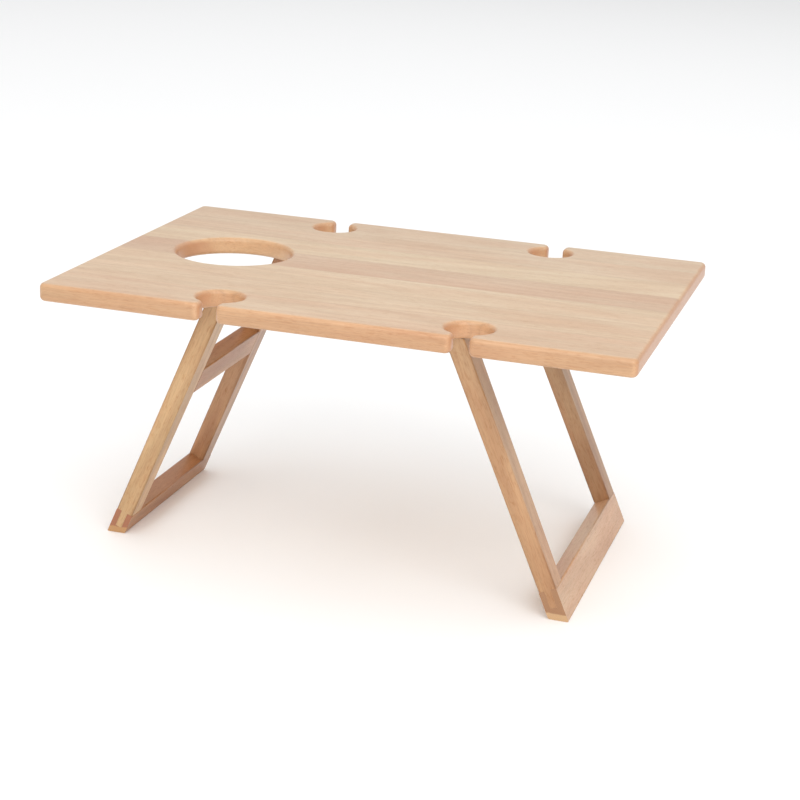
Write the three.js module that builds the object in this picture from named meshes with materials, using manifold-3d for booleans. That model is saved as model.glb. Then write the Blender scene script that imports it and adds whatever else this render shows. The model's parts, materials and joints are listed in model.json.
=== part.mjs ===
// A low folding picnic table: a glued-up board with a bottle hole and four stemmed-glass notches,
// carried by two splayed leg frames that fold inwards under it on small butt hinges.
// Millimetres, +Z up. The origin is on the ground under the middle of the board, +X runs along the
// board towards the wide leg frame, and -Y is the front.

import * as THREE from 'three';
import { mergeVertices } from 'three/addons/utils/BufferGeometryUtils.js';
import Module from 'manifold-3d';

const wasm = await Module();
wasm.setup();

// ---------------------------------------------------------------- driving dimensions

const FIT_GAP = 0.3; // left between pieces that touch

const BOARD = {
  length: 700,
  width: 486,
  thickness: 22,
  top: 343,
  edgeRound: 6,
  edgeRoundSteps: 3,
  cornerRound: 8,
};

const BOTTLE_HOLE = { x: -209, y: 11, radius: 72 };
const GLASS_NOTCH = {
  xs: [-141, 154],
  fromEdge: 43,
  radius: 27,
  slotWidth: 20,
  cornerRound: 8,
};

const LEG = { depth: 22, widthAtTop: 38.5, widthAtFoot: 27.3 };
const TONGUE = { depth: 8, length: 22 };
const TENON = { depth: 8, height: 20, length: 12 };

const NARROW_FRAME = {
  name: 'narrow',
  inward: 1, // +1 on the frame whose feet are at -X, -1 on the other
  outerFootX: -317,
  tilt: THREE.MathUtils.degToRad(22.35),
  halfWidth: 128,
  railHeight: 35, // along the outer face
  stretcher: { bottom: 200, height: 35 }, // up the inner face from the ground
};
const WIDE_FRAME = {
  name: 'wide',
  inward: -1,
  outerFootX: 285,
  tilt: THREE.MathUtils.degToRad(24.17),
  halfWidth: 172,
  railHeight: 43,
};

// The hinge axis stands off both the board and the leg's inner face by the same amount, so that a
// folded leg lies parallel to the board with room for the two leaves between them.
const HINGE = {
  axisOffset: 2.3,
  length: 30,
  leafReach: 20,
  leafThickness: 1.6,
  barrelRadius: 2,
  boreRadius: 1.05,
  pinRadius: 0.9,
  pinHeadRadius: 1.8,
  pinHeadLength: 1,
  knuckleGap: 0.2,
};
const SCREW = {
  fromAxis: 12,
  halfSpacing: 9,
  headRadius: 2.7,
  shankRadius: 1.4,
  length: 13,
  tipLength: 3,
  clearance: 0.25,
};

const ARC_STEP = THREE.MathUtils.degToRad(20);
const ROUND_SIDES = 16;

const BOARD_BOTTOM = BOARD.top - BOARD.thickness;
const AXIS_HEIGHT = BOARD_BOTTOM - HINGE.axisOffset;

// ---------------------------------------------------------------- materials

const paleWood = { roughness: 0.5, metalness: 0 };
const boardWood = new THREE.MeshStandardMaterial({ color: 0xe3c3a0, ...paleWood });
const frameWood = new THREE.MeshStandardMaterial({ color: 0xd3a678, ...paleWood });
const brass = new THREE.MeshStandardMaterial({ color: 0xb99a5c, roughness: 0.35, metalness: 1 });
const steel = new THREE.MeshStandardMaterial({ color: 0xa9a69f, roughness: 0.35, metalness: 1 });

// ---------------------------------------------------------------- solids

function solidOf(geometry) {
  geometry.deleteAttribute('normal');
  geometry.deleteAttribute('uv');
  const merged = mergeVertices(geometry, 1e-4);
  return new wasm.Manifold(new wasm.Mesh({
    numProp: 3,
    vertProperties: new Float32Array(merged.attributes.position.array),
    triVerts: new Uint32Array(merged.index.array),
  }));
}

function meshOf(name, solid, material) {
  const { vertProperties, triVerts } = solid.getMesh();
  const geometry = new THREE.BufferGeometry();
  geometry.setAttribute('position', new THREE.BufferAttribute(vertProperties, 3));
  geometry.setIndex(new THREE.BufferAttribute(triVerts, 1));
  geometry.computeVertexNormals();
  const mesh = new THREE.Mesh(geometry, material);
  mesh.name = name;
  return mesh;
}

function subtractAll(solid, cutters) {
  return cutters.reduce((left, cutter) => left.subtract(cutter), solid);
}

function boxBetween(low, high) {
  const size = high.map((value, axis) => value - low[axis]);
  const middle = high.map((value, axis) => (value + low[axis]) / 2);
  return solidOf(new THREE.BoxGeometry(...size).translate(...middle));
}

// A cylinder along Y between two places on that axis.
function rodAlongY(radius, yLow, yHigh) {
  const rod = new THREE.CylinderGeometry(radius, radius, yHigh - yLow, ROUND_SIDES);
  return rod.translate(0, (yLow + yHigh) / 2, 0);
}

// An outline of [x, z] points, extruded along Y.
function prismAlongY(outline, yLow, yHigh) {
  const shape = new THREE.Shape(outline.map(([x, z]) => new THREE.Vector2(x, z)));
  const options = { depth: yHigh - yLow, bevelEnabled: false };
  return solidOf(new THREE.ExtrudeGeometry(shape, options).rotateX(Math.PI / 2).translate(0, yHigh, 0));
}

// An outline of [y, z] points, extruded along X.
function prismAlongX(outline, xLow, xHigh) {
  const shape = new THREE.Shape(outline.map(([y, z]) => new THREE.Vector2(y, z)));
  const options = { depth: xHigh - xLow, bevelEnabled: false };
  const turn = new THREE.Matrix4().makeBasis(
    new THREE.Vector3(0, 1, 0),
    new THREE.Vector3(0, 0, 1),
    new THREE.Vector3(1, 0, 0),
  );
  return solidOf(new THREE.ExtrudeGeometry(shape, options).applyMatrix4(turn).translate(xLow, 0, 0));
}

// ---------------------------------------------------------------- the board

function arcPoints(centre, radius, from, to) {
  const steps = Math.ceil(Math.abs(to - from) / ARC_STEP);
  return Array.from({ length: steps + 1 }, (_, i) => {
    const angle = from + ((to - from) * i) / steps;
    return new THREE.Vector2(
      centre[0] + radius * Math.cos(angle),
      centre[1] + radius * Math.sin(angle),
    );
  });
}

// One glass notch in a board edge that runs along +X with the board on its left: a stem slot with
// rounded mouth corners, opening into a round hole through rounded neck corners.
function notchPoints() {
  const round = GLASS_NOTCH.cornerRound;
  const side = GLASS_NOTCH.slotWidth / 2 + round;
  const holeY = GLASS_NOTCH.fromEdge;
  const neckY = holeY - Math.sqrt((GLASS_NOTCH.radius + round) ** 2 - side ** 2);
  const neckTurn = Math.atan2(holeY - neckY, side);
  return [
    ...arcPoints([-side, round], round, -Math.PI / 2, 0),
    ...arcPoints([-side, neckY], round, 0, neckTurn),
    ...arcPoints([0, holeY], GLASS_NOTCH.radius, Math.PI + neckTurn, -neckTurn).slice(1, -1),
    ...arcPoints([side, neckY], round, Math.PI - neckTurn, Math.PI),
    ...arcPoints([side, round], round, Math.PI, 1.5 * Math.PI),
  ];
}

// The front half of the outline, from the front left corner to the front right one. Turned half
// round about the middle, with its notches swapped, it is also the back half.
function edgePoints(notchXs) {
  const cornerX = BOARD.length / 2 - BOARD.cornerRound;
  const cornerY = BOARD.width / 2 - BOARD.cornerRound;
  const leftCorner = arcPoints([-cornerX, -cornerY], BOARD.cornerRound, Math.PI, 1.5 * Math.PI);
  const rightCorner = arcPoints([cornerX, -cornerY], BOARD.cornerRound, -Math.PI / 2, 0);
  const notches = notchXs.flatMap((x) =>
    notchPoints().map((point) => point.add(new THREE.Vector2(x, -BOARD.width / 2))));
  return [...leftCorner, ...notches, ...rightCorner];
}

function boardSolid() {
  const front = edgePoints(GLASS_NOTCH.xs);
  const back = edgePoints(GLASS_NOTCH.xs.map((x) => -x).reverse()).map((point) => point.negate());
  const outline = new THREE.Shape([...front, ...back]);
  const hole = arcPoints([BOTTLE_HOLE.x, BOTTLE_HOLE.y], BOTTLE_HOLE.radius, 0, -2 * Math.PI);
  outline.holes.push(new THREE.Path(hole.slice(0, -1)));
  const geometry = new THREE.ExtrudeGeometry(outline, {
    depth: BOARD.thickness - 2 * BOARD.edgeRound,
    bevelThickness: BOARD.edgeRound,
    bevelSize: BOARD.edgeRound,
    bevelOffset: -BOARD.edgeRound,
    bevelSegments: BOARD.edgeRoundSteps,
  });
  return solidOf(geometry.translate(0, 0, BOARD_BOTTOM + BOARD.edgeRound));
}

// ---------------------------------------------------------------- hinges and screws

// A hinge half has its barrel's axis on Y. Its leaf reaches along +X and lies against wood on its
// +Z side, and its screws point along +Z.
function knuckleSpans() {
  const third = HINGE.length / 3;
  const gap = HINGE.knuckleGap / 2;
  const edge = HINGE.length / 2;
  return {
    outer: [[-edge, -third / 2 - gap], [third / 2 + gap, edge]],
    middle: [[-third / 2 + gap, third / 2 - gap]],
  };
}

function screwPlaces() {
  return [-SCREW.halfSpacing, SCREW.halfSpacing].map((y) => [SCREW.fromAxis, y]);
}

function leafSolid(ownSpans, otherSpans) {
  const back = HINGE.axisOffset - FIT_GAP;
  const face = back - HINGE.leafThickness;
  const half = HINGE.length / 2;
  const plate = boxBetween([0, -half, face], [HINGE.leafReach, half, back]);
  const barrels = ownSpans.map(([low, high]) => solidOf(rodAlongY(HINGE.barrelRadius, low, high)));
  const reach = HINGE.barrelRadius + FIT_GAP;
  const notches = otherSpans.map(([low, high]) => {
    const gap = HINGE.knuckleGap;
    return boxBetween([-reach, low - gap, -reach], [reach, high + gap, reach]);
  });
  const bore = solidOf(rodAlongY(HINGE.boreRadius, -half - 1, half + 1));
  const sinks = screwPlaces().map(([x, y]) => {
    const sink = new THREE.CylinderGeometry(
      SCREW.shankRadius + SCREW.clearance,
      SCREW.headRadius + SCREW.clearance,
      HINGE.leafThickness + 0.02,
      ROUND_SIDES,
    );
    return solidOf(sink.rotateX(Math.PI / 2).translate(x, y, (face + back) / 2));
  });
  const body = subtractAll(plate, notches);
  return subtractAll(barrels.reduce((sum, barrel) => sum.add(barrel), body), [bore, ...sinks]);
}

// A countersunk wood screw along +Z with the flat of its head at Z = 0.
function screwSolid() {
  const shankEnd = SCREW.length - SCREW.tipLength;
  const profile = [
    [0, 0],
    [SCREW.headRadius, 0],
    [SCREW.shankRadius, HINGE.leafThickness],
    [SCREW.shankRadius, shankEnd],
    [0, SCREW.length],
  ].map(([radius, along]) => new THREE.Vector2(radius, along));
  return solidOf(new THREE.LatheGeometry(profile, ROUND_SIDES).rotateX(Math.PI / 2));
}

function hingePinSolid() {
  const half = HINGE.length / 2;
  const shaft = solidOf(rodAlongY(HINGE.pinRadius, -half - 0.5, half + 0.5));
  const heads = [-1, 1].map((side) => {
    const near = side * (half + FIT_GAP);
    const far = side * (half + FIT_GAP + HINGE.pinHeadLength);
    const span = [Math.min(near, far), Math.max(near, far)];
    return solidOf(rodAlongY(HINGE.pinHeadRadius, ...span));
  });
  return heads.reduce((sum, head) => sum.add(head), shaft);
}

// How a hinge half is turned: its own X, Y and Z axes in the group that holds it.
function boardHalfTurn(inward) {
  return new THREE.Matrix4().makeBasis(
    new THREE.Vector3(inward, 0, 0),
    new THREE.Vector3(0, inward, 0),
    new THREE.Vector3(0, 0, 1),
  );
}

function legHalfTurn(inward) {
  return new THREE.Matrix4().makeBasis(
    new THREE.Vector3(0, 0, -1),
    new THREE.Vector3(0, -inward, 0),
    new THREE.Vector3(-inward, 0, 0),
  );
}

function hingeHalf(name, part, material, turn) {
  const { outer, middle } = knuckleSpans();
  const leaf = part === 'board' ? leafSolid(outer, middle) : leafSolid(middle, outer);
  const half = new THREE.Group();
  half.setRotationFromMatrix(turn);
  half.add(meshOf(`${name}_${part}_leaf`, leaf, material));
  screwPlaces().forEach(([x, y], index) => {
    const screw = meshOf(`${name}_${part}_screw_${index + 1}`, screwSolid(), steel);
    screw.position.set(x, y, HINGE.axisOffset - FIT_GAP - HINGE.leafThickness);
    half.add(screw);
  });
  return half;
}

// The pilot holes of one hinge half, moved to where that half is.
function pilotHoles(turn, place) {
  const radius = SCREW.shankRadius + SCREW.clearance;
  return screwPlaces().map(([x, y]) => {
    const hole = new THREE.CylinderGeometry(radius, radius, SCREW.length + 2, ROUND_SIDES);
    hole.rotateX(Math.PI / 2).translate(x, y, SCREW.length / 2);
    return solidOf(hole.applyMatrix4(turn).translate(...place));
  });
}

// ---------------------------------------------------------------- leg frames

// A frame's own group has its origin on the hinge axis and its Z axis up along the legs. Depth is
// measured across a leg from that axis: negative towards the leg, whose inner face comes first.
function frameShape(frame) {
  const innerDepth = -HINGE.axisOffset;
  const outerDepth = innerDepth - LEG.depth;
  // where a level plane, so far above the hinge axis, crosses the leg at a given depth
  const levelAt = (height, depth) =>
    (height + depth * Math.sin(frame.tilt)) / Math.cos(frame.tilt);
  const groundAt = (depth) => levelAt(-AXIS_HEIGHT, depth);
  const topAt = (depth) => levelAt(HINGE.axisOffset - FIT_GAP, depth);
  const railTop = groundAt(outerDepth) + frame.railHeight;
  const tongueMiddle = (innerDepth + outerDepth) / 2;
  return { innerDepth, outerDepth, groundAt, topAt, railTop, tongueMiddle };
}

function legWidthAt(z, shape) {
  const share = z / shape.groundAt(shape.innerDepth);
  return LEG.widthAtTop + (LEG.widthAtFoot - LEG.widthAtTop) * share;
}

// The inner long face of a leg leans in towards the foot; the outer one is upright.
function legSolid(frame, shape, side) {
  const { innerDepth, outerDepth, railTop, tongueMiddle } = shape;
  const shoulder = railTop + FIT_GAP;
  const tongueEnd = railTop - TONGUE.length;
  const tongueHalf = TONGUE.depth / 2;
  const profile = [
    [outerDepth, shape.topAt(outerDepth)],
    [outerDepth, shoulder],
    [tongueMiddle - tongueHalf, shoulder],
    [tongueMiddle - tongueHalf, tongueEnd],
    [tongueMiddle + tongueHalf, tongueEnd],
    [tongueMiddle + tongueHalf, shoulder],
    [innerDepth, shoulder],
    [innerDepth, shape.topAt(innerDepth)],
  ].map(([depth, z]) => [frame.inward * depth, z]);
  const ends = [shape.topAt(innerDepth) + 1, tongueEnd - 1];
  const taper = [
    [side * frame.halfWidth, ends[0]],
    [side * frame.halfWidth, ends[1]],
    [side * (frame.halfWidth - legWidthAt(ends[1], shape)), ends[1]],
    [side * (frame.halfWidth - legWidthAt(ends[0], shape)), ends[0]],
  ];
  const room = Math.abs(outerDepth) + 1;
  const reach = frame.halfWidth + 1;
  return prismAlongX(taper, -room, room).intersect(prismAlongY(profile, -reach, reach));
}

function footRailSolid(frame, shape) {
  const { innerDepth, outerDepth, groundAt, railTop, tongueMiddle } = shape;
  const profile = [
    [outerDepth, railTop],
    [outerDepth, groundAt(outerDepth)],
    [innerDepth, groundAt(innerDepth)],
    [innerDepth, railTop],
  ].map(([depth, z]) => [frame.inward * depth, z]);
  const rail = prismAlongY(profile, -frame.halfWidth, frame.halfWidth);
  const slotHalf = TONGUE.depth / 2 + FIT_GAP / 2;
  const slotX = frame.inward * tongueMiddle;
  const slotLength = legWidthAt(railTop, shape) + FIT_GAP;
  const slots = [-1, 1].map((side) => {
    const ys = [side * (frame.halfWidth - slotLength), side * (frame.halfWidth + 1)];
    return boxBetween(
      [slotX - slotHalf, Math.min(...ys), railTop - TONGUE.length - FIT_GAP],
      [slotX + slotHalf, Math.max(...ys), railTop + 1],
    );
  });
  return subtractAll(rail, slots);
}

// The upper stretcher, whose ends follow the legs' lean and carry stub tenons.
function stretcherSolids(frame, shape) {
  const { innerDepth, outerDepth, groundAt, tongueMiddle } = shape;
  const bottom = groundAt(innerDepth) + frame.stretcher.bottom;
  const top = bottom + frame.stretcher.height;
  const middle = (bottom + top) / 2;
  const halfLengthAt = (z) => frame.halfWidth - legWidthAt(z, shape) - FIT_GAP;
  const outline = [
    [-halfLengthAt(bottom), bottom],
    [halfLengthAt(bottom), bottom],
    [halfLengthAt(top), top],
    [-halfLengthAt(top), top],
  ];
  const xs = [frame.inward * innerDepth, frame.inward * outerDepth].sort((a, b) => a - b);
  const tenonReach = halfLengthAt(middle) + TENON.length;
  const tenonMiddle = [frame.inward * tongueMiddle, 0, middle];
  const tenonHalf = [TENON.depth / 2, tenonReach, TENON.height / 2];
  const tenonBox = (spare) => boxBetween(
    tenonMiddle.map((value, axis) => value - tenonHalf[axis] - spare),
    tenonMiddle.map((value, axis) => value + tenonHalf[axis] + spare),
  );
  return {
    stretcher: prismAlongX(outline, ...xs).add(tenonBox(0)),
    mortises: tenonBox(FIT_GAP),
  };
}

function hingePlaces(frame) {
  const y = frame.halfWidth - LEG.widthAtTop / 2;
  return [{ end: 'front', side: -1, y: -y }, { end: 'back', side: 1, y }];
}

function axisX(frame) {
  const across = (LEG.depth + HINGE.axisOffset) / Math.cos(frame.tilt);
  return frame.outerFootX + frame.inward * (AXIS_HEIGHT * Math.tan(frame.tilt) + across);
}

function legFrame(frame) {
  const shape = frameShape(frame);
  const group = new THREE.Group();
  group.position.set(axisX(frame), 0, AXIS_HEIGHT);
  group.rotation.y = frame.inward * frame.tilt;
  const braces = frame.stretcher ? stretcherSolids(frame, shape) : null;
  const turn = legHalfTurn(frame.inward);
  for (const { end, side, y } of hingePlaces(frame)) {
    const holes = pilotHoles(turn, [0, y, 0]);
    const cutters = braces ? [...holes, braces.mortises] : holes;
    const leg = subtractAll(legSolid(frame, shape, side), cutters);
    group.add(meshOf(`${frame.name}_leg_${end}`, leg, frameWood));
    const half = hingeHalf(`${frame.name}_hinge_${end}`, 'leg', brass, turn);
    half.position.y = y;
    group.add(half);
  }
  if (braces) group.add(meshOf(`${frame.name}_stretcher`, braces.stretcher, frameWood));
  group.add(meshOf(`${frame.name}_foot_rail`, footRailSolid(frame, shape), frameWood));
  return group;
}

// ---------------------------------------------------------------- the table

function tabletop(frames) {
  const group = new THREE.Group();
  const holes = [];
  for (const frame of frames) {
    const turn = boardHalfTurn(frame.inward);
    for (const { end, y } of hingePlaces(frame)) {
      const name = `${frame.name}_hinge_${end}`;
      const place = [axisX(frame), y, AXIS_HEIGHT];
      const half = hingeHalf(name, 'board', brass, turn);
      half.position.set(...place);
      const pin = meshOf(`${name}_pin`, hingePinSolid(), steel);
      pin.position.set(...place);
      group.add(half, pin);
      holes.push(...pilotHoles(turn, place));
    }
  }
  group.add(meshOf('board', subtractAll(boardSolid(), holes), boardWood));
  return group;
}

const table = new THREE.Group();
table.name = 'folding_side_table';
table.add(tabletop([NARROW_FRAME, WIDE_FRAME]), legFrame(NARROW_FRAME), legFrame(WIDE_FRAME));

export default table;
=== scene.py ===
"""The looks of a low folding picnic table: pale oiled wood, with brass hinges under the board.

Metres, +Z up, -Y is the front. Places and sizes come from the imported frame. A leg frame's own
coordinates are (depth, y, along): depth across the legs from the hinge axis, positive towards the
middle of the table, and along up the legs from that axis.
"""

import json
import math

import bmesh
import bpy
from mathutils import Matrix, Vector


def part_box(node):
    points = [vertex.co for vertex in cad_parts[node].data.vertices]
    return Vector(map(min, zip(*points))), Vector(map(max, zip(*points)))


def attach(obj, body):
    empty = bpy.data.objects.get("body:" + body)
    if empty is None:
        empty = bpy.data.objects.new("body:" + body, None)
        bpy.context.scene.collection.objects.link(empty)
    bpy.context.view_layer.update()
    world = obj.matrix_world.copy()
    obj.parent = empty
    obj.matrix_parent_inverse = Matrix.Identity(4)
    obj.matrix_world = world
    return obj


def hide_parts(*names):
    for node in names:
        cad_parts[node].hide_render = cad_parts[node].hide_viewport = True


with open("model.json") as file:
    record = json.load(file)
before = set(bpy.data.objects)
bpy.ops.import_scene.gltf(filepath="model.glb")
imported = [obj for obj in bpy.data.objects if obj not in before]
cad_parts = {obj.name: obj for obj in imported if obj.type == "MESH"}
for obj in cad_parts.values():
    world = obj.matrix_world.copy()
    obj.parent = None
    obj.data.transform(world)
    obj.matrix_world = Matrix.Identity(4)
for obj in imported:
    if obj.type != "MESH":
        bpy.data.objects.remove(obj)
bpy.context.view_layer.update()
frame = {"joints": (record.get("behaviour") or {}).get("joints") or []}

# ---------------------------------------------------------------- sizes

MM = 0.001

EDGE_ROUND = 6 * MM
CORNER_ROUND = 8 * MM
BOTTLE_HOLE = {"x": -209 * MM, "y": 11 * MM, "radius": 72 * MM}
NOTCH = {"xs": (-141 * MM, 154 * MM), "from_edge": 43 * MM, "radius": 27 * MM, "slot": 20 * MM}
ARC_STEP = math.radians(6)
ROUND_STEPS = 8

LEG_DEPTH = 22 * MM
LEG_WIDTH_TOP = 38.5 * MM
LEG_WIDTH_FOOT = 27.3 * MM
TONGUE_DEPTH = 8 * MM
TONGUE_LENGTH = 22 * MM
JOINT_GAP = 0.12 * MM
REST_GAP = 0.3 * MM
LEG_EASE = 1.6 * MM
EASE_STEPS = 4
EASE_LEAST_TURN = 0.5  # radians between its faces, or an edge stays sharp
LONG_EDGE = 150 * MM  # only edges longer than this are eased
CUT_SPARE = 5 * MM  # how far a cutter stands out of the wood

AXIS_OFFSET = 2.3 * MM
FRAMES = {
    "narrow": {
        "joint": "narrow_frame_fold",
        "body": "narrow_frame",
        "inward": 1,
        "tilt": math.radians(22.35),
        "rail_height": 35 * MM,
        "stretcher": (200 * MM, 35 * MM),
    },
    "wide": {
        "joint": "wide_frame_fold",
        "body": "wide_frame",
        "inward": -1,
        "tilt": math.radians(24.17),
        "rail_height": 43 * MM,
        "stretcher": None,
    },
}

HINGE_LENGTH = 30 * MM
LEAF_REACH = 20 * MM
LEAF_THICKNESS = 1.6 * MM
LEAF_CORNER = 2.5 * MM
BARREL_RADIUS = 1.96 * MM
KNUCKLE_GAP = 0.2 * MM
PIN_RADIUS = 0.9 * MM
PIN_HEAD_RADIUS = 1.8 * MM
PIN_HEAD_LENGTH = 1.0 * MM
PIN_CROWN = 0.35 * MM
PIN_CROWN_SHARE = 0.6  # of the head's radius, flat on its end
SCREW_FROM_AXIS = 12 * MM
SCREW_HALF_SPACING = 9 * MM
SCREW_HEAD_RADIUS = 2.7 * MM
SCREW_SHANK_RADIUS = 1.4 * MM
SCREW_LENGTH = 13 * MM
SCREW_TIP = 3 * MM
SCREW_POINT_RADIUS = 0.2 * MM
SCREW_POINT_LENGTH = 0.1 * MM
SCREW_RIM = 0.15 * MM
SCREW_SIDES = 32
RECESS_ARM = 1.5 * MM
RECESS_HALF_WIDTH = 0.32 * MM
RECESS_DEPTH = 1.1 * MM
SINK_SPARE = 0.12 * MM
SINK_REACH = 0.3 * MM
HAIR = 0.03 * MM  # keeps faces that would share a plane apart, so that booleans stay clean
ROUND_SIDES = 48

# how a screw's cross is turned, in degrees: the first of two, the step to the next, and what is
# added at the back of the table
SPIN_FIRST = 25
SPIN_STEP = 40
SPIN_BACK = 15

# front to back, against the board's own light tone
STAVE_TINTS = (
    (0.96, 0.91, 0.88),
    (0.98, 0.95, 0.92),
    (1.0, 1.0, 0.98),
    (0.90, 0.82, 0.79),
    (1.0, 1.01, 0.98),
    (0.95, 0.92, 0.90),
    (0.95, 0.945, 0.94),
)

# painted sheen: a tint that makes the board's flat top and underside paler and less orange than its
# edges, standing in for the sheen of light on them
PAINTED_SHEEN_TINT = (1.02, 1.22, 1.46)
SEAM_SHADE = 0.9
SEAM_WIDTH = 0.012  # of a stave's width, on each side of the seam
PORE_TINT = (0.62, 0.48, 0.36)
FLECK_TINT = (0.82, 0.68, 0.52)
PINK_HUE = (1.0, 0.88, 0.8)
PALE_HUE = (1.0, 1.02, 1.0)
SEED_STEPS = (3.1, 1.7, 2.3)  # how far each 1 of a seed moves the pattern on each axis
STAVE_STEPS = (7.0, 5.0, 3.0)  # the most that a stave is moved on each axis
# painted highlight: how high, and with how much waver, the paler strip along the bottom of a foot
# rail's ends reaches; it stands in for the light on the bevelled foot
BEVEL_HIGHLIGHT_HEIGHT = 9 * MM
BEVEL_HIGHLIGHT_WAVER = 4 * MM

board_low, board_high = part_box("board")
JOINTS = {joint["name"]: joint for joint in frame["joints"]}


# ---------------------------------------------------------------- mesh helpers

def object_from(name, bm):
    bmesh.ops.recalc_face_normals(bm, faces=bm.faces)
    mesh = bpy.data.meshes.new(name)
    bm.to_mesh(mesh)
    bm.free()
    obj = bpy.data.objects.new(name, mesh)
    bpy.context.scene.collection.objects.link(obj)
    return obj


def add_ring(bm, points):
    return [bm.verts.new(point) for point in points]


def bridge_rings(bm, lower, upper, smooth=True):
    for i in range(len(lower)):
        j = (i + 1) % len(lower)
        face = bm.faces.new((lower[i], lower[j], upper[j], upper[i]))
        face.smooth = smooth


def prism(bm, outline_a, outline_b):
    """A closed solid between two outlines with the same number of points."""
    ring_a, ring_b = add_ring(bm, outline_a), add_ring(bm, outline_b)
    bm.faces.new(ring_a)
    bm.faces.new(ring_b)
    bridge_rings(bm, ring_a, ring_b, smooth=False)


def ease_long_edges(bm):
    """Rounds over a stick's long edges, as sanding does."""
    bmesh.ops.recalc_face_normals(bm, faces=bm.faces)
    edges = [
        edge for edge in bm.edges
        if edge.calc_length() > LONG_EDGE and edge.calc_face_angle(0) > EASE_LEAST_TURN
    ]
    made = bmesh.ops.bevel(
        bm, geom=edges, offset=LEG_EASE, segments=EASE_STEPS, profile=0.5, affect="EDGES"
    )
    for face in made["faces"]:
        face.smooth = True


def lathe(bm, profile, sides=ROUND_SIDES, axis="Z"):
    """Turns a profile of (radius, along) points, which starts and ends on the axis."""
    rings = []
    angles = [2 * math.pi * i / sides for i in range(sides)]
    for radius, along in profile[1:-1]:
        circle = [(radius * math.cos(a), radius * math.sin(a), along) for a in angles]
        rings.append(add_ring(bm, circle))
    for lower, upper in zip(rings, rings[1:]):
        bridge_rings(bm, lower, upper)
    ends = ((profile[0], rings[0]), (profile[-1], rings[-1]))
    for (_, along), ring in ends:
        tip = bm.verts.new((0, 0, along))
        for i in range(sides):
            bm.faces.new((tip, ring[i], ring[(i + 1) % sides]))
    if axis == "Y":
        bmesh.ops.rotate(bm, verts=bm.verts, matrix=Matrix.Rotation(-math.pi / 2, 3, "X"))


def combine(obj, other, operation):
    """Joins to or cuts from obj another object, which is then gone."""
    modifier = obj.modifiers.new(operation, "BOOLEAN")
    modifier.operation = operation
    modifier.solver = "EXACT"
    modifier.object = other
    bpy.context.view_layer.update()
    evaluated = obj.evaluated_get(bpy.context.evaluated_depsgraph_get())
    shape = bpy.data.meshes.new_from_object(evaluated)
    obj.modifiers.clear()
    obj.data = shape
    bpy.data.objects.remove(other)


def box_object(low, high):
    bm = bmesh.new()
    xs, ys, zs = zip(low, high)
    corners = [(xs[0], ys[0]), (xs[1], ys[0]), (xs[1], ys[1]), (xs[0], ys[1])]
    prism(bm, [(x, y, zs[0]) for x, y in corners], [(x, y, zs[1]) for x, y in corners])
    return object_from("cutter", bm)


def shade_by_angle(obj, degrees=35):
    obj.data.shade_smooth()
    obj.data.set_sharp_from_angle(angle=math.radians(degrees))


# ---------------------------------------------------------------- wood

class Graph:
    """A new material with short ways to add and join shader nodes."""

    def __init__(self, name):
        self.material = bpy.data.materials.new(name)
        self.material.use_nodes = True
        self.nodes = self.material.node_tree.nodes
        self.links = self.material.node_tree.links
        self.shader = self.nodes["Principled BSDF"]
        self.coordinates = self.nodes.new("ShaderNodeTexCoord")

    def feed(self, socket, value):
        if isinstance(value, bpy.types.NodeSocket):
            self.links.new(value, socket)
        else:
            socket.default_value = value

    def math(self, operation, *values):
        node = self.nodes.new("ShaderNodeMath")
        node.operation = operation
        for socket, value in zip(node.inputs, values):
            self.feed(socket, value)
        return node.outputs[0]

    def vector(self, operation, *values):
        node = self.nodes.new("ShaderNodeVectorMath")
        node.operation = operation
        for socket, value in zip(node.inputs, values):
            self.feed(socket, value)
        return node.outputs["Value" if operation == "DOT_PRODUCT" else "Vector"]

    def noise(self, vector, scale, detail=2.0, roughness=0.5, distortion=0.0):
        node = self.nodes.new("ShaderNodeTexNoise")
        self.links.new(vector, node.inputs["Vector"])
        node.inputs["Scale"].default_value = scale
        node.inputs["Detail"].default_value = detail
        node.inputs["Roughness"].default_value = roughness
        node.inputs["Distortion"].default_value = distortion
        return node.outputs["Fac"]

    def ramp(self, value, stops, interpolation="LINEAR"):
        node = self.nodes.new("ShaderNodeValToRGB")
        node.color_ramp.interpolation = interpolation
        elements = node.color_ramp.elements
        while len(elements) < len(stops):
            elements.new(0.5)
        for element, (position, colour) in zip(elements, stops):
            element.position = position
            element.color = (*colour, 1)
        self.links.new(value, node.inputs["Fac"])
        return node.outputs["Color"]

    def between(self, value, low, high, top=1.0):
        """Grey that rises from 0 to top while value goes from low to high."""
        return self.ramp(value, [(low, grey(0.0)), (high, grey(top))])

    def mix(self, factor, a, b, blend="MIX"):
        node = self.nodes.new("ShaderNodeMix")
        node.data_type = "RGBA"
        node.blend_type = blend
        node.clamp_factor = True
        for socket, value in ((node.inputs[0], factor), (node.inputs[6], a), (node.inputs[7], b)):
            self.feed(socket, (*value, 1) if isinstance(value, tuple) else value)
        return node.outputs[2]

    def times(self, colour, other):
        return self.mix(1.0, colour, other, "MULTIPLY")

    def bump(self, height, strength, distance):
        node = self.nodes.new("ShaderNodeBump")
        node.inputs["Strength"].default_value = strength
        node.inputs["Distance"].default_value = distance
        self.links.new(height, node.inputs["Height"])
        self.links.new(node.outputs["Normal"], self.shader.inputs["Normal"])


def grey(value):
    return (value, value, value)


def linear(red, green, blue):
    """An sRGB colour, 0 to 255, as the linear values that a shader takes."""
    def channel(value):
        value /= 255
        return value / 12.92 if value <= 0.04045 else ((value + 0.055) / 1.055) ** 2.4
    return (channel(red), channel(green), channel(blue))


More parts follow.
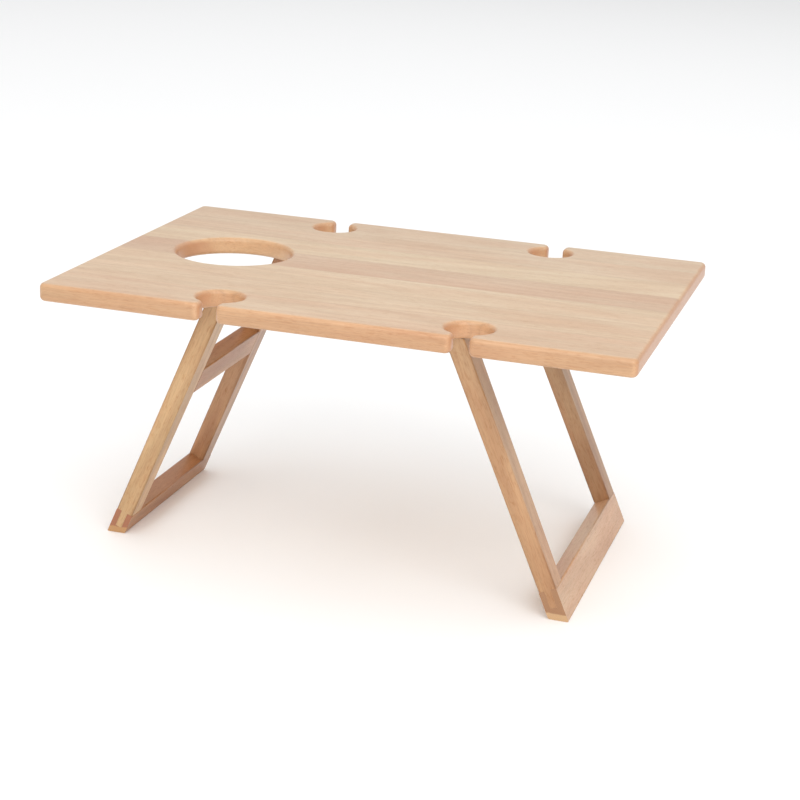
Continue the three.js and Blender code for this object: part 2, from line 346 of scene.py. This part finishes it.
def grain_space(graph, grain, seed):
    """The place in the wood as (along the fibres, across them, across them the other way)."""
    across = Vector((0, 1, 0)) if abs(grain.y) < 0.9 else Vector((1, 0, 0))
    third = grain.cross(across).normalized()
    across = third.cross(grain)
    place = graph.coordinates.outputs["Object"]
    combined = graph.nodes.new("ShaderNodeCombineXYZ")
    for axis, socket in zip((grain, across, third), combined.inputs):
        graph.links.new(graph.vector("DOT_PRODUCT", place, tuple(axis)), socket)
    return graph.vector("ADD", combined.outputs[0], tuple(seed * step for step in SEED_STEPS))


def stave_number(graph):
    """How many staves lie between a point and the board's front edge."""
    parts = graph.nodes.new("ShaderNodeSeparateXYZ")
    graph.links.new(graph.coordinates.outputs["Object"], parts.inputs[0])
    from_front = graph.math("ADD", parts.outputs["Y"], board_high.y)
    return graph.math("DIVIDE", from_front, 2 * board_high.y / len(STAVE_TINTS))


def stave_shift(graph, own, number):
    """Moves each stave to another place in the wood, so that its figure starts afresh."""
    shift = graph.nodes.new("ShaderNodeTexWhiteNoise")
    shift.noise_dimensions = "1D"
    graph.links.new(graph.math("FLOOR", number), shift.inputs["W"])
    moved = graph.vector("MULTIPLY", shift.outputs["Color"], STAVE_STEPS)
    return graph.vector("ADD", own, moved)


def stave_tint(graph, number):
    """Each stave's own tint, darker in a fine line along its seams."""
    count = len(STAVE_TINTS)
    stops = [(i / count, colour) for i, colour in enumerate(STAVE_TINTS)]
    tint = graph.ramp(graph.math("DIVIDE", number, float(count)), stops, "CONSTANT")
    to_seam = graph.math("PINGPONG", number, 0.5)
    seam = graph.ramp(to_seam, [(0.0, grey(SEAM_SHADE)), (SEAM_WIDTH, grey(1.0))])
    return graph.times(tint, seam)


def stretched(graph, own, along):
    """The place with its distance along the fibres scaled down, so that marks come out long."""
    return graph.vector("MULTIPLY", own, (along, 1.0, 1.0))


def face_tones(graph, own, light, dark, variety):
    """Growth-ring streaks, soft patches, fine fibres and short flecks along the grain. variety
    says how far the wood strays from an even tone. The patches and fibres are given back too, for
    the sheen and the relief."""
    figure = graph.noise(
        stretched(graph, own, 0.08), scale=10.0, detail=2.0, roughness=0.45, distortion=0.4
    )
    rings = graph.math("SINE", graph.math("MULTIPLY", figure, 90.0))
    streaks = graph.between(graph.math("MULTIPLY_ADD", rings, 0.5, 0.5), 0.2, 1.0, 0.5 * variety)
    tone = graph.mix(streaks, light, dark)
    patches = graph.noise(stretched(graph, own, 0.3), scale=16.0, detail=3.0)
    tone = graph.mix(graph.between(patches, 0.36, 0.68, 0.8 * variety), tone, dark)
    hue = graph.noise(stretched(graph, own, 0.16), scale=30.0, detail=2.0)
    hues = graph.ramp(hue, [(0.36, PINK_HUE), (0.64, PALE_HUE)])
    tone = graph.mix(variety, tone, graph.times(tone, hues))
    fibres = graph.noise(stretched(graph, own, 0.02), scale=620.0, detail=3.0, roughness=0.6)
    tone = graph.times(tone, graph.ramp(fibres, [(0.25, grey(0.88)), (0.7, grey(1.03))]))
    flecks = graph.noise(
        stretched(graph, own, 0.16), scale=430.0, detail=2.0, roughness=0.6, distortion=0.6
    )
    curls = graph.noise(
        stretched(graph, own, 0.4), scale=210.0, detail=2.0, roughness=0.55, distortion=1.6
    )
    fleck_marks = graph.between(flecks, 0.54, 0.68)
    curl_marks = graph.between(curls, 0.56, 0.7, 0.6)
    marks = graph.math("ADD", fleck_marks, curl_marks)
    marks = graph.math("MULTIPLY", marks, 0.75 * variety)
    return graph.mix(marks, tone, graph.times(tone, FLECK_TINT)), patches, fibres


def pore_mask(graph, own):
    pores = graph.noise(stretched(graph, own, 0.05), scale=1700.0, detail=1.0)
    return graph.ramp(pores, [(0.34, grey(1.0)), (0.42, grey(0.0))])


def end_tones(graph, own, end_tone, bevel_highlight):
    """Speckled end grain. On a foot rail its lowest strip is painted paler: a painted highlight,
    standing in for the light on the bevelled foot.
    """
    flat = graph.vector("MULTIPLY", own, (0.0, 1.0, 1.0))
    specks = graph.noise(flat, scale=1500.0, detail=2.0)
    tone = end_tone
    # painted highlight: the lowest strip of the end grain is given the paler tone
    if bevel_highlight:
        parts = graph.nodes.new("ShaderNodeSeparateXYZ")
        graph.links.new(graph.coordinates.outputs["Object"], parts.inputs[0])
        waver = graph.noise(flat, scale=90.0)
        wander = graph.math("MULTIPLY_ADD", waver, BEVEL_HIGHLIGHT_WAVER, parts.outputs["Z"])
        above_highlight = graph.math("MULTIPLY", graph.math("SUBTRACT", wander, BEVEL_HIGHLIGHT_HEIGHT), 1 / MM)
        tone = graph.mix(graph.between(above_highlight, 0.0, 1.0), bevel_highlight, end_tone)
    return graph.times(tone, graph.ramp(specks, [(0.3, grey(0.8)), (0.6, grey(1.05))]))


def wood_material(name, tones, grain, seed, variety=0.9, staves=False, bevel_highlight=None):
    """Satin-oiled rubberwood. tones are the light, dark and end-grain colours, and grain is the
    direction of the fibres in the table's frame."""
    graph = Graph(name)
    light, dark, end_tone = tones
    grain = Vector(grain).normalized()
    own = grain_space(graph, grain, seed)
    number = stave_number(graph) if staves else None
    if staves:
        own = stave_shift(graph, own, number)
    tone, patches, fibres = face_tones(graph, own, light, dark, variety)
    pores = pore_mask(graph, own)
    tone = graph.mix(graph.math("MULTIPLY", pores, 0.3), tone, graph.times(tone, PORE_TINT))
    if staves:
        tone = graph.times(tone, stave_tint(graph, number))
        # painted sheen: faces that point straight up or down are made paler by the tint above
        up = graph.vector("DOT_PRODUCT", graph.coordinates.outputs["Normal"], (0.0, 0.0, 1.0))
        painted_sheen = graph.between(graph.math("ABSOLUTE", up), 0.8, 0.97)
        tone = graph.mix(painted_sheen, tone, graph.times(tone, PAINTED_SHEEN_TINT))
    facing = graph.vector("DOT_PRODUCT", graph.coordinates.outputs["Normal"], tuple(grain))
    end = graph.between(graph.math("ABSOLUTE", facing), 0.6, 0.9)
    tone = graph.mix(end, tone, end_tones(graph, own, end_tone, bevel_highlight))
    graph.links.new(tone, graph.shader.inputs["Base Color"])

    rough = graph.math("MULTIPLY_ADD", patches, 0.14, 0.34)
    rough = graph.math("MULTIPLY_ADD", pores, 0.12, rough)
    graph.links.new(rough, graph.shader.inputs["Roughness"])
    graph.shader.inputs["Specular IOR Level"].default_value = 0.5
    graph.shader.inputs["Coat Weight"].default_value = 0.35
    graph.shader.inputs["Coat Roughness"].default_value = 0.3
    height = graph.math("MULTIPLY_ADD", pores, -0.6, fibres)
    graph.bump(height, 0.16, 0.12 * MM)
    return graph.material


def metal_material(name, colour, roughness, seed):
    """Plated metal with faint polishing marks and a slightly uneven shine."""
    graph = Graph(name)
    own = graph.vector("ADD", graph.coordinates.outputs["Object"], (seed, seed * 2, seed * 3))
    clouds = graph.noise(own, scale=240.0, detail=3.0)
    brushed = graph.vector("MULTIPLY", own, (1.0, 0.06, 1.0))
    marks = graph.noise(brushed, scale=5000.0, detail=2.0)
    darker = tuple(value * 0.72 for value in colour)
    toned = graph.mix(graph.between(clouds, 0.35, 0.7, 0.6), colour, darker)
    graph.links.new(toned, graph.shader.inputs["Base Color"])
    graph.shader.inputs["Metallic"].default_value = 1.0
    rough = graph.math("MULTIPLY_ADD", clouds, 0.25, roughness)
    graph.links.new(rough, graph.shader.inputs["Roughness"])
    graph.bump(marks, 0.25, 0.02 * MM)
    return graph.material


def dress(obj, material, slot, body, *nodes):
    obj.data.materials.clear()
    obj.data.materials.append(material)
    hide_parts(*nodes)
    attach(obj, body)


# ---------------------------------------------------------------- the board

def arc(centre, radius, start, end, inset):
    """Points of an arc of the board's outline, moved into the wood by inset. The outline runs
    with the wood on its left, so an arc that turns left is a corner and one that turns right is
    a hollow."""
    radius += -inset if end > start else inset
    steps = max(2, math.ceil(abs(end - start) / ARC_STEP))
    angles = [start + (end - start) * i / steps for i in range(steps + 1)]
    return [(centre[0] + radius * math.cos(a), centre[1] + radius * math.sin(a)) for a in angles]


def notch_outline(inset):
    side = NOTCH["slot"] / 2 + CORNER_ROUND
    hole_y = NOTCH["from_edge"]
    neck_y = hole_y - math.sqrt((NOTCH["radius"] + CORNER_ROUND) ** 2 - side ** 2)
    turn = math.atan2(hole_y - neck_y, side)
    quarter = math.pi / 2
    return [
        *arc((-side, CORNER_ROUND), CORNER_ROUND, -quarter, 0, inset),
        *arc((-side, neck_y), CORNER_ROUND, 0, turn, inset),
        *arc((0, hole_y), NOTCH["radius"], math.pi + turn, -turn, inset)[1:-1],
        *arc((side, neck_y), CORNER_ROUND, math.pi - turn, math.pi, inset),
        *arc((side, CORNER_ROUND), CORNER_ROUND, math.pi, 3 * quarter, inset),
    ]


def half_outline(notch_xs, inset):
    x = board_high.x - CORNER_ROUND
    y = board_high.y - CORNER_ROUND
    points = arc((-x, -y), CORNER_ROUND, math.pi, 1.5 * math.pi, inset)
    for notch_x in notch_xs:
        points += [(notch_x + px, board_low.y + py) for px, py in notch_outline(inset)]
    return points + arc((x, -y), CORNER_ROUND, -math.pi / 2, 0, inset)


def board_outline(inset):
    front = half_outline(NOTCH["xs"], inset)
    back = half_outline([-x for x in reversed(NOTCH["xs"])], inset)
    return front + [(-x, -y) for x, y in back]


def hole_outline(inset):
    centre = (BOTTLE_HOLE["x"], BOTTLE_HOLE["y"])
    return arc(centre, BOTTLE_HOLE["radius"], 0, -2 * math.pi, inset)[:-1]


def edge_levels():
    """(height, inset) of each line of points round the board's edge, from the bottom up."""
    turns = [math.pi / 2 * i / ROUND_STEPS for i in range(ROUND_STEPS + 1)]
    lower = [
        (board_low.z + EDGE_ROUND * (1 - math.sin(turn)), EDGE_ROUND * (1 - math.cos(turn)))
        for turn in turns
    ]
    upper = [(board_low.z + board_high.z - z, inset) for z, inset in lower]
    return lower[::-1] + upper


def make_board(material):
    bm = bmesh.new()
    levels = edge_levels()
    caps = [[], []]
    for outline in (board_outline, hole_outline):
        rings = [add_ring(bm, [(x, y, z) for x, y in outline(inset)]) for z, inset in levels]
        for lower, upper in zip(rings, rings[1:]):
            bridge_rings(bm, lower, upper)
        caps[0].append(rings[0])
        caps[1].append(rings[-1])
    for cap in caps:
        edges = [bm.edges.get((ring[i - 1], ring[i])) for ring in cap for i in range(len(ring))]
        made = bmesh.ops.triangle_fill(bm, edges=edges, use_beauty=True)
        for face in made["geom"]:
            if isinstance(face, bmesh.types.BMFace):
                face.smooth = False
    board = object_from("tabletop_board", bm)
    dress(board, material, "board_wood", "tabletop", "board")


# ---------------------------------------------------------------- leg frames

class LegFrame:
    """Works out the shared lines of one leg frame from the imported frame's joint and boxes."""

    def __init__(self, name):
        self.name = name
        self.__dict__.update(FRAMES[name])
        self.axis_at = Vector(JOINTS[self.joint]["pos_m"])
        self.half_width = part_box(f"{name}_foot_rail")[1].y
        self.inner = -AXIS_OFFSET
        self.outer = -AXIS_OFFSET - LEG_DEPTH
        self.middle = (self.inner + self.outer) / 2
        self.rail_top = self.level(-self.axis_at.z, self.outer) + self.rail_height
        self.ground_inner = self.level(-self.axis_at.z, self.inner)

    def level(self, height, depth):
        """Where a level plane, so far above the hinge axis, crosses the legs at that depth."""
        return (height + depth * math.sin(self.tilt)) / math.cos(self.tilt)

    def leg_width(self, along):
        share = along / self.ground_inner
        return LEG_WIDTH_TOP + (LEG_WIDTH_FOOT - LEG_WIDTH_TOP) * share

    def place(self, depth, y, along):
        turn = Matrix.Rotation(self.inward * self.tilt, 3, "Y")
        return self.axis_at + turn @ Vector((self.inward * depth, y, along))

    def up(self):
        return Matrix.Rotation(self.inward * self.tilt, 3, "Y") @ Vector((0, 0, 1))


def make_leg(legs, end, side, material):
    shoulder = legs.rail_top + JOINT_GAP
    tongue_end = legs.rail_top - TONGUE_LENGTH
    near = legs.middle - TONGUE_DEPTH / 2
    far = legs.middle + TONGUE_DEPTH / 2
    rest = AXIS_OFFSET - REST_GAP
    profile = [
        (legs.outer, legs.level(rest, legs.outer)),
        (legs.outer, shoulder),
        (near, shoulder),
        (near, tongue_end),
        (far, tongue_end),
        (far, shoulder),
        (legs.inner, shoulder),
        (legs.inner, legs.level(rest, legs.inner)),
    ]
    outside = [legs.place(depth, side * legs.half_width, along) for depth, along in profile]
    inside = [
        legs.place(depth, side * (legs.half_width - legs.leg_width(along)), along)
        for depth, along in profile
    ]
    bm = bmesh.new()
    prism(bm, outside, inside)
    ease_long_edges(bm)
    leg = object_from(f"{legs.name}_leg_{end}_wood", bm)
    dress(leg, material, "frame_wood", legs.body, f"{legs.name}_leg_{end}")


def make_foot_rail(legs, material):
    ground = -legs.axis_at.z
    profile = [
        (legs.outer, legs.rail_top),
        (legs.outer, legs.level(ground, legs.outer)),
        (legs.inner, legs.level(ground, legs.inner)),
        (legs.inner, legs.rail_top),
    ]
    bm = bmesh.new()
    ends = [
        [Vector((depth, side * legs.half_width, along)) for depth, along in profile]
        for side in (-1, 1)
    ]
    prism(bm, *ends)
    ease_long_edges(bm)
    rail = object_from(f"{legs.name}_foot_rail_wood", bm)
    half = TONGUE_DEPTH / 2 + JOINT_GAP
    inside = legs.half_width - legs.leg_width(legs.rail_top) - JOINT_GAP
    for side in (-1, 1):
        ys = sorted((side * inside, side * (legs.half_width + CUT_SPARE)))
        low = (legs.middle - half, ys[0], legs.rail_top - TONGUE_LENGTH - JOINT_GAP)
        high = (legs.middle + half, ys[1], legs.rail_top + CUT_SPARE)
        combine(rail, box_object(low, high), "DIFFERENCE")
    for vertex in rail.data.vertices:
        vertex.co = legs.place(*vertex.co)
    if legs.inward < 0:
        rail.data.flip_normals()
    dress(rail, material, "frame_wood", legs.body, f"{legs.name}_foot_rail")


def make_stretcher(legs, material):
    bottom, height = legs.stretcher
    low = legs.ground_inner + bottom
    high = low + height
    profile = [(legs.outer, high), (legs.outer, low), (legs.inner, low), (legs.inner, high)]

    def reach(along):
        return legs.half_width - legs.leg_width(along) - JOINT_GAP

    ends = [
        [legs.place(depth, side * reach(along), along) for depth, along in profile]
        for side in (-1, 1)
    ]
    bm = bmesh.new()
    prism(bm, *ends)
    ease_long_edges(bm)
    stretcher = object_from(f"{legs.name}_stretcher_wood", bm)
    dress(stretcher, material, "frame_wood", legs.body, f"{legs.name}_stretcher")


# ---------------------------------------------------------------- hinges

# A hinge half has its barrel on Y. Its leaf reaches along +X, against wood on its +Z side.

def knuckle_spans(part):
    third = HINGE_LENGTH / 3
    edge = HINGE_LENGTH / 2
    gap = KNUCKLE_GAP / 2
    if part == "leg":
        return [(-third / 2 + gap, third / 2 - gap)]
    return [(-edge, -third / 2 - gap), (third / 2 + gap, edge)]


def rounded_leaf_outline():
    """The plate seen from above, square at the barrel and rounded at its free corners."""
    half = HINGE_LENGTH / 2 - HAIR
    x = LEAF_REACH - LEAF_CORNER
    y = half - LEAF_CORNER
    quarter = math.pi / 2
    points = [(0, half), (0, -half)]
    points += arc((x, -y), LEAF_CORNER, -quarter, 0, 0)
    points += arc((x, y), LEAF_CORNER, 0, quarter, 0)
    return points


def rod(radius, low, high):
    bm = bmesh.new()
    lathe(bm, [(0, low), (radius, low), (radius, high), (0, high)], axis="Y")
    return object_from("rod", bm)


def leaf_mesh(part):
    back = AXIS_OFFSET - REST_GAP
    face = back - LEAF_THICKNESS
    other = "leg" if part == "board" else "board"
    bm = bmesh.new()
    outline = rounded_leaf_outline()
    prism(bm, [(x, y, face) for x, y in outline], [(x, y, back) for x, y in outline])
    leaf = object_from(f"leaf_{part}", bm)
    for x, y in screw_places():
        bm = bmesh.new()
        wide = SCREW_HEAD_RADIUS + SINK_SPARE
        slim = SCREW_SHANK_RADIUS + SINK_SPARE
        low, high = face - SINK_REACH, back + SINK_REACH
        lathe(bm, [(0, low), (wide, low), (wide, face), (slim, back), (slim, high), (0, high)])
        bmesh.ops.translate(bm, verts=bm.verts, vec=(x, y, 0))
        combine(leaf, object_from("sink", bm), "DIFFERENCE")
    reach = BARREL_RADIUS + REST_GAP
    for low, high in knuckle_spans(other):
        cutter = box_object((-reach, low - KNUCKLE_GAP, -reach), (reach, high + KNUCKLE_GAP, reach))
        combine(leaf, cutter, "DIFFERENCE")
    for low, high in knuckle_spans(part):
        combine(leaf, rod(BARREL_RADIUS, low + 2 * HAIR, high - 2 * HAIR), "UNION")
    combine(leaf, rod(PIN_RADIUS + SINK_SPARE, -HINGE_LENGTH, HINGE_LENGTH), "DIFFERENCE")
    return leaf


def screw_places():
    return [(SCREW_FROM_AXIS, -SCREW_HALF_SPACING), (SCREW_FROM_AXIS, SCREW_HALF_SPACING)]


def screw_mesh():
    """A countersunk screw along +Z with a cross recess, the flat of its head at Z = 0."""
    bm = bmesh.new()
    profile = [
        (0, 0),
        (SCREW_HEAD_RADIUS - SCREW_RIM, 0),
        (SCREW_HEAD_RADIUS, SCREW_RIM),
        (SCREW_SHANK_RADIUS, LEAF_THICKNESS),
        (SCREW_SHANK_RADIUS, SCREW_LENGTH - SCREW_TIP),
        (SCREW_POINT_RADIUS, SCREW_LENGTH - SCREW_POINT_LENGTH),
        (0, SCREW_LENGTH),
    ]
    lathe(bm, profile, sides=SCREW_SIDES)
    screw = object_from("screw", bm)
    for x, y in ((RECESS_ARM, RECESS_HALF_WIDTH), (RECESS_HALF_WIDTH, RECESS_ARM)):
        combine(screw, box_object((-x, -y, -MM), (x, y, RECESS_DEPTH)), "DIFFERENCE")
    return screw


def pin_mesh():
    near = HINGE_LENGTH / 2 + REST_GAP
    far = near + PIN_HEAD_LENGTH
    side = [
        (0, far),
        (PIN_HEAD_RADIUS * PIN_CROWN_SHARE, far),
        (PIN_HEAD_RADIUS, far - PIN_CROWN),
        (PIN_HEAD_RADIUS, near),
        (PIN_RADIUS, near),
    ]
    bm = bmesh.new()
    lathe(bm, side + [(radius, -along) for radius, along in reversed(side)], axis="Y")
    return object_from("pin", bm)


def half_turn(part, inward):
    """The hinge half's X, Y and Z axes: in the table for the board's half, in the leg frame for
    the leg's half."""
    if part == "board":
        columns = ((inward, 0, 0), (0, inward, 0), (0, 0, 1))
    else:
        columns = ((0, 0, -1), (0, -inward, 0), (-inward, 0, 0))
    return Matrix(columns).transposed()


def place_copy(source, name, matrix, material, slot, body, node):
    piece = bpy.data.objects.new(name, source.data.copy())
    bpy.context.scene.collection.objects.link(piece)
    piece.data.transform(matrix)
    dress(piece, material, slot, body, node)


def screw_spin(index, side):
    degrees = SPIN_FIRST + SPIN_STEP * index + (SPIN_BACK if side > 0 else 0)
    return Matrix.Rotation(math.radians(degrees), 4, "Z")


def make_hinges(legs, shapes, brass, steel):
    y = legs.half_width - LEG_WIDTH_TOP / 2
    lean = Matrix.Rotation(legs.inward * legs.tilt, 3, "Y")
    face = AXIS_OFFSET - REST_GAP - LEAF_THICKNESS
    for end, side in (("front", -1), ("back", 1)):
        hinge = f"{legs.name}_hinge_{end}"
        at = Matrix.Translation(legs.axis_at + Vector((0, side * y, 0)))
        node = f"{hinge}_pin"
        place_copy(shapes["pin"], f"{node}_turned", at, steel, "fastener_steel", "tabletop", node)
        for part, body, turn in (
            ("board", "tabletop", half_turn("board", legs.inward)),
            ("leg", legs.body, lean @ half_turn("leg", legs.inward)),
        ):
            matrix = at @ turn.to_4x4()
            node = f"{hinge}_{part}_leaf"
            place_copy(shapes[part], f"{node}_plate", matrix, brass, "hinge_brass", body, node)
            for i, (x, screw_y) in enumerate(screw_places()):
                node = f"{hinge}_{part}_screw_{i + 1}"
                spot = matrix @ Matrix.Translation((x, screw_y, face)) @ screw_spin(i, side)
                place_copy(
                    shapes["screw"], f"{node}_turned", spot, steel, "fastener_steel", body, node
                )


# ---------------------------------------------------------------- the room

CAMERA_AT = Vector((0.6504, -2.1514, 0.9004))
CAMERA_YAW = math.radians(16.337)
CAMERA_PITCH = math.radians(-17.776)
CAMERA_ROLL = math.radians(2.788)
CAMERA_LENS = 85.37
CAMERA_SENSOR = 36

WORLD_STRENGTH = 0.7
LIGHTS = (
    {
        "name": "ceiling",
        "at": (0, 1.5, 4.2),
        "target": (0, 1.5, 0),
        "size": (10.0, 10.0),
        "power": 165,
        "colour": (1.0, 1.0, 1.0),
    },
    {
        "name": "key_softbox",
        "at": (1.0, -2.4, 2.0),
        "target": (0, 0, 0.2),
        "size": (4.4, 2.6),
        "power": 66,
        "colour": (1.0, 0.985, 0.96),
    },
)

FLOOR_HALF_SIZE = 12.0
FLOOR_DROP = 0.2 * MM  # below the ground plane, so that the rails don't touch it
FLOOR_COLOUR = (0.96, 0.965, 0.97, 1)
FLOOR_ROUGHNESS = 0.6
FLOOR_SHINE = 0.2


def make_camera():
    camera = bpy.data.objects.new("camera", bpy.data.cameras.new("camera"))
    bpy.context.scene.collection.objects.link(camera)
    camera.data.sensor_width = CAMERA_SENSOR
    camera.data.lens = CAMERA_LENS
    forward = Vector((
        -math.sin(CAMERA_YAW) * math.cos(CAMERA_PITCH),
        math.cos(CAMERA_YAW) * math.cos(CAMERA_PITCH),
        math.sin(CAMERA_PITCH),
    ))
    level = Vector((math.cos(CAMERA_YAW), math.sin(CAMERA_YAW), 0))
    upright = level.cross(forward)
    right = level * math.cos(CAMERA_ROLL) + upright * math.sin(CAMERA_ROLL)
    up = upright * math.cos(CAMERA_ROLL) - level * math.sin(CAMERA_ROLL)
    turn = Matrix((right, up, -forward)).transposed().to_4x4()
    camera.matrix_world = Matrix.Translation(CAMERA_AT) @ turn
    bpy.context.scene.camera = camera


def area_light(name, at, target, size, power, colour):
    light = bpy.data.lights.new(name, "AREA")
    light.shape = "RECTANGLE"
    light.size, light.size_y = size
    light.energy = power
    light.color = colour
    obj = bpy.data.objects.new(name, light)
    obj.location = at
    obj.rotation_euler = (Vector(target) - Vector(at)).to_track_quat("-Z", "Y").to_euler()
    bpy.context.scene.collection.objects.link(obj)


def make_room():
    scene = bpy.context.scene
    scene.view_settings.view_transform = "Standard"
    scene.world = bpy.data.worlds.new("studio")
    scene.world.use_nodes = True
    background = scene.world.node_tree.nodes["Background"]
    background.inputs["Color"].default_value = (1.0, 1.0, 1.0, 1.0)
    background.inputs["Strength"].default_value = WORLD_STRENGTH
    for light in LIGHTS:
        area_light(**light)

    bm = bmesh.new()
    bmesh.ops.create_grid(bm, x_segments=1, y_segments=1, size=FLOOR_HALF_SIZE)
    floor = object_from("studio_floor", bm)
    floor.location.z = -FLOOR_DROP
    paint = Graph("studio_floor_white")
    paint.shader.inputs["Base Color"].default_value = FLOOR_COLOUR
    paint.shader.inputs["Roughness"].default_value = FLOOR_ROUGHNESS
    paint.shader.inputs["Specular IOR Level"].default_value = FLOOR_SHINE
    floor.data.materials.append(paint.material)


# ---------------------------------------------------------------- the table

# light, dark and end-grain tones
BOARD_TONES = (linear(210, 172, 134), linear(184, 136, 96), linear(192, 142, 104))
# the back legs' tones are darker than the front legs': painted shade, standing in for the shade
# that the board casts on the far legs
LEG_TONES = {
    "narrow_leg_front": (linear(208, 174, 130), linear(168, 126, 84), linear(158, 112, 78)),
    "narrow_leg_back": (linear(188, 146, 108), linear(140, 94, 60), linear(150, 104, 70)),
    "wide_leg_front": (linear(198, 160, 120), linear(162, 120, 82), linear(160, 112, 78)),
    "wide_leg_back": (linear(188, 150, 112), linear(148, 106, 70), linear(152, 106, 72)),
}
RAIL_TONES = {
    "narrow": (linear(194, 144, 100), linear(152, 102, 62), linear(160, 102, 70)),
    "wide": (linear(210, 176, 144), linear(186, 146, 114), linear(160, 116, 80)),
}
# painted highlight: the paler tone of the strip along the bottom of each foot rail's ends
BEVEL_HIGHLIGHT_TONES = {"narrow": linear(184, 138, 90), "wide": linear(196, 158, 116)}
BOARD_VARIETY = 0.5

BRASS = {"colour": (0.62, 0.46, 0.2), "roughness": 0.24}
STEEL = {"colour": (0.58, 0.56, 0.52), "roughness": 0.26}

# where in its material's pattern each piece is cut from
BOARD_SEED = 1.3
LEG_SEED = 4.1
LEG_SEED_PER_FRAME = 2.7
LEG_SEED_PER_SIDE = 0.9
RAIL_SEED = 9.2
BRASS_SEED = 0.7
STEEL_SEED = 1.9


def make_wood_pieces():
    make_board(wood_material(
        "board_wood_oiled", BOARD_TONES, (1, 0, 0), BOARD_SEED, BOARD_VARIETY, staves=True,
    ))
    for number, name in enumerate(FRAMES):
        legs = LegFrame(name)
        for end, side in (("front", -1), ("back", 1)):
            seed = LEG_SEED + LEG_SEED_PER_FRAME * number + LEG_SEED_PER_SIDE * side
            tones = LEG_TONES[f"{name}_leg_{end}"]
            wood = wood_material(f"{name}_leg_{end}_oiled", tones, legs.up(), seed)
            make_leg(legs, end, side, wood)
        wood = wood_material(
            f"{name}_rail_oiled", RAIL_TONES[name], (0, 1, 0), RAIL_SEED + number,
            bevel_highlight=BEVEL_HIGHLIGHT_TONES[name],
        )
        make_foot_rail(legs, wood)
        if legs.stretcher:
            make_stretcher(legs, wood)


def make_metal_pieces():
    brass = metal_material("hinge_brass_plated", seed=BRASS_SEED, **BRASS)
    steel = metal_material("fastener_steel_plated", seed=STEEL_SEED, **STEEL)
    shapes = {
        "board": leaf_mesh("board"),
        "leg": leaf_mesh("leg"),
        "screw": screw_mesh(),
        "pin": pin_mesh(),
    }
    for shape in shapes.values():
        shade_by_angle(shape)
    for name in FRAMES:
        make_hinges(LegFrame(name), shapes, brass, steel)
    for shape in shapes.values():
        bpy.data.objects.remove(shape)


make_camera()
make_room()
make_wood_pieces()
make_metal_pieces()
